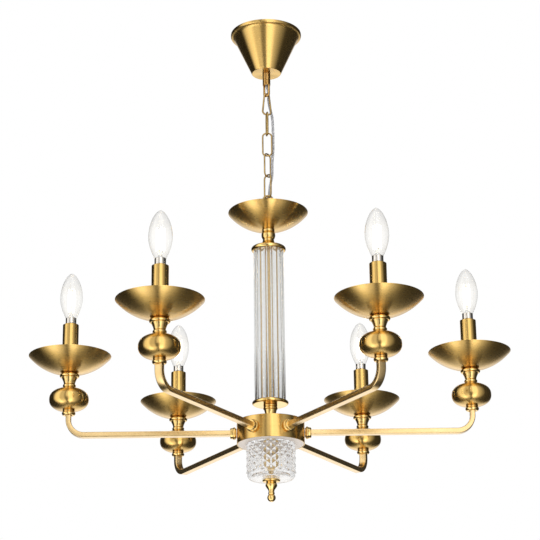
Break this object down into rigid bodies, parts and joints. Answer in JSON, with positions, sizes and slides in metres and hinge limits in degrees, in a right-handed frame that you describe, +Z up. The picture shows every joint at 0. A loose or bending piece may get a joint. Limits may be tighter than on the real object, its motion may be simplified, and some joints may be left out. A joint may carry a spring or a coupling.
{
  "type": "multi arm chandelier",
  "caption": "Candle chandelier in satin brass: bent arms with spun dishes and clear flame lamps round a glass rod column, cut glass cup below, hung on a short chain from a conical canopy.",
  "frame": {"origin": "centre of the canopy's rim, on the ceiling", "axes": "+Z up into the ceiling, the lamp hangs towards -Z, +X along the first arm"},
  "size_m": [0.738, 0.656, 0.7743],
  "materials": {
    "satin_brass": "brushed satin brass with an aged lacquer",
    "polished_brass": "polished brass",
    "antique_brass": "aged brass plate, dark in the hollows",
    "zinc_steel": "zinc plated steel",
    "nickel": "bright nickel",
    "white_plastic": "moulded nylon",
    "socket_plastic": "moulded thermoset",
    "rod_glass": "clear drawn glass",
    "cut_glass": "clear cut crystal",
    "bulb_glass": "clear blown glass, warm white filaments",
    "clear_cable": "clear sheath over tinned conductors"
  },
  "bodies": {
    "ceiling_set": {"ceiling_bracket": "zinc_steel", "canopy_nipple": "zinc_steel", "nipple_nuts": "zinc_steel", "terminal_block": "white_plastic", "canopy": "satin_brass", "canopy_loop": "antique_brass", "supply_cable": "clear_cable"},
    "pear": {"pear_link": "antique_brass"},
    "link_1": {"chain_link_1": "antique_brass"},
    "link_2": {"chain_link_2": "antique_brass"},
    "link_3": {"chain_link_3": "antique_brass"},
    "link_4": {"chain_link_4": "antique_brass"},
    "fixture": {"fixture_loop": "antique_brass", "top_bowl": "satin_brass", "upper_neck": "polished_brass", "upper_rod_cap": "polished_brass", "glass_rods": "rod_glass", "lower_rod_cap": "polished_brass", "lower_neck": "polished_brass", "centre_tube": "satin_brass", "hub_shell": "satin_brass", "hub_floor": "satin_brass", "crystal_cup": "cut_glass", "finial": "polished_brass", "hub_ferrules": "polished_brass", "arm_nuts": "zinc_steel", "tip_ferrules": "polished_brass", "ball_knops": "satin_brass", "candle_necks": "polished_brass", "lamp_sockets": "socket_plastic", "arm_1": "satin_brass", "arm_2": "satin_brass", "arm_3": "satin_brass", "arm_4": "satin_brass", "arm_5": "satin_brass", "arm_6": "satin_brass", "dish_1": "satin_brass", "dish_2": "satin_brass", "dish_3": "satin_brass", "dish_4": "satin_brass", "dish_5": "satin_brass", "dish_6": "satin_brass", "sleeve_1": "satin_brass", "sleeve_2": "satin_brass", "sleeve_3": "satin_brass", "sleeve_4": "satin_brass", "sleeve_5": "satin_brass", "sleeve_6": "satin_brass"},
    "lamp_1_cap": {"bulb_cap_1": "nickel"},
    "lamp_1_glass": {"bulb_glass_1": "bulb_glass"},
    "lamp_2_cap": {"bulb_cap_2": "nickel"},
    "lamp_2_glass": {"bulb_glass_2": "bulb_glass"},
    "lamp_3_cap": {"bulb_cap_3": "nickel"},
    "lamp_3_glass": {"bulb_glass_3": "bulb_glass"},
    "lamp_4_cap": {"bulb_cap_4": "nickel"},
    "lamp_4_glass": {"bulb_glass_4": "bulb_glass"},
    "lamp_5_cap": {"bulb_cap_5": "nickel"},
    "lamp_5_glass": {"bulb_glass_5": "bulb_glass"},
    "lamp_6_cap": {"bulb_cap_6": "nickel"},
    "lamp_6_glass": {"bulb_glass_6": "bulb_glass"}
  },
  "joints": [
    {"name": "pear_swing", "type": "hinge", "parent": "ceiling_set", "child": "pear", "pos_m": [0, 0, -0.109], "axis": [-0.766, 0.6428, 0], "range_deg": [-18, 18], "deforming": ["supply_cable"]},
    {"name": "link_1_swing", "type": "hinge", "parent": "pear", "child": "link_1", "pos_m": [0, 0, -0.14215], "axis": [0.9563, 0.2924, 0], "range_deg": [-18, 18]},
    {"name": "link_2_swing", "type": "hinge", "parent": "link_1", "child": "link_2", "pos_m": [0, 0, -0.178], "axis": [-0.1736, 0.9848, 0], "range_deg": [-18, 18]},
    {"name": "link_3_swing", "type": "hinge", "parent": "link_2", "child": "link_3", "pos_m": [0, 0, -0.214], "axis": [1, 0, 0], "range_deg": [-18, 18]},
    {"name": "link_4_swing", "type": "hinge", "parent": "link_3", "child": "link_4", "pos_m": [0, 0, -0.25], "axis": [0.6428, 0.766, 0], "range_deg": [-18, 18]},
    {"name": "fixture_swing", "type": "hinge", "parent": "link_4", "child": "fixture", "pos_m": [0, 0, -0.286], "axis": [0.7071, -0.7071, 0], "range_deg": [-18, 18]},
    {"name": "lamp_1_lift", "type": "slide", "parent": "fixture", "child": "lamp_1_cap", "axis": [0, 0, 1], "range_m": [0, 0.0142]},
    {"name": "lamp_1_unscrew", "type": "hinge", "parent": "lamp_1_cap", "child": "lamp_1_glass", "pos_m": [0.306, 0, -0.4688], "axis": [0, 0, 1], "range_deg": [0, 1800]},
    {"name": "lamp_2_lift", "type": "slide", "parent": "fixture", "child": "lamp_2_cap", "axis": [0, 0, 1], "range_m": [0, 0.0142]},
    {"name": "lamp_2_unscrew", "type": "hinge", "parent": "lamp_2_cap", "child": "lamp_2_glass", "pos_m": [0.153, 0.265, -0.4688], "axis": [0, 0, 1], "range_deg": [0, 1800]},
    {"name": "lamp_3_lift", "type": "slide", "parent": "fixture", "child": "lamp_3_cap", "axis": [0, 0, 1], "range_m": [0, 0.0142]},
    {"name": "lamp_3_unscrew", "type": "hinge", "parent": "lamp_3_cap", "child": "lamp_3_glass", "pos_m": [-0.153, 0.265, -0.4688], "axis": [0, 0, 1], "range_deg": [0, 1800]},
    {"name": "lamp_4_lift", "type": "slide", "parent": "fixture", "child": "lamp_4_cap", "axis": [0, 0, 1], "range_m": [0, 0.0142]},
    {"name": "lamp_4_unscrew", "type": "hinge", "parent": "lamp_4_cap", "child": "lamp_4_glass", "pos_m": [-0.306, 0, -0.4688], "axis": [0, 0, 1], "range_deg": [0, 1800]},
    {"name": "lamp_5_lift", "type": "slide", "parent": "fixture", "child": "lamp_5_cap", "axis": [0, 0, 1], "range_m": [0, 0.0142]},
    {"name": "lamp_5_unscrew", "type": "hinge", "parent": "lamp_5_cap", "child": "lamp_5_glass", "pos_m": [-0.153, -0.265, -0.4688], "axis": [0, 0, 1], "range_deg": [0, 1800]},
    {"name": "lamp_6_lift", "type": "slide", "parent": "fixture", "child": "lamp_6_cap", "axis": [0, 0, 1], "range_m": [0, 0.0142]},
    {"name": "lamp_6_unscrew", "type": "hinge", "parent": "lamp_6_cap", "child": "lamp_6_glass", "pos_m": [0.153, -0.265, -0.4688], "axis": [0, 0, 1], "range_deg": [0, 1800]}
  ],
  "couplings": [
    {"joint": "lamp_1_lift", "follows": "lamp_1_unscrew", "m_per_rad": 0.00044882},
    {"joint": "lamp_2_lift", "follows": "lamp_2_unscrew", "m_per_rad": 0.00044882},
    {"joint": "lamp_3_lift", "follows": "lamp_3_unscrew", "m_per_rad": 0.00044882},
    {"joint": "lamp_4_lift", "follows": "lamp_4_unscrew", "m_per_rad": 0.00044882},
    {"joint": "lamp_5_lift", "follows": "lamp_5_unscrew", "m_per_rad": 0.00044882},
    {"joint": "lamp_6_lift", "follows": "lamp_6_unscrew", "m_per_rad": 0.00044882}
  ]
}
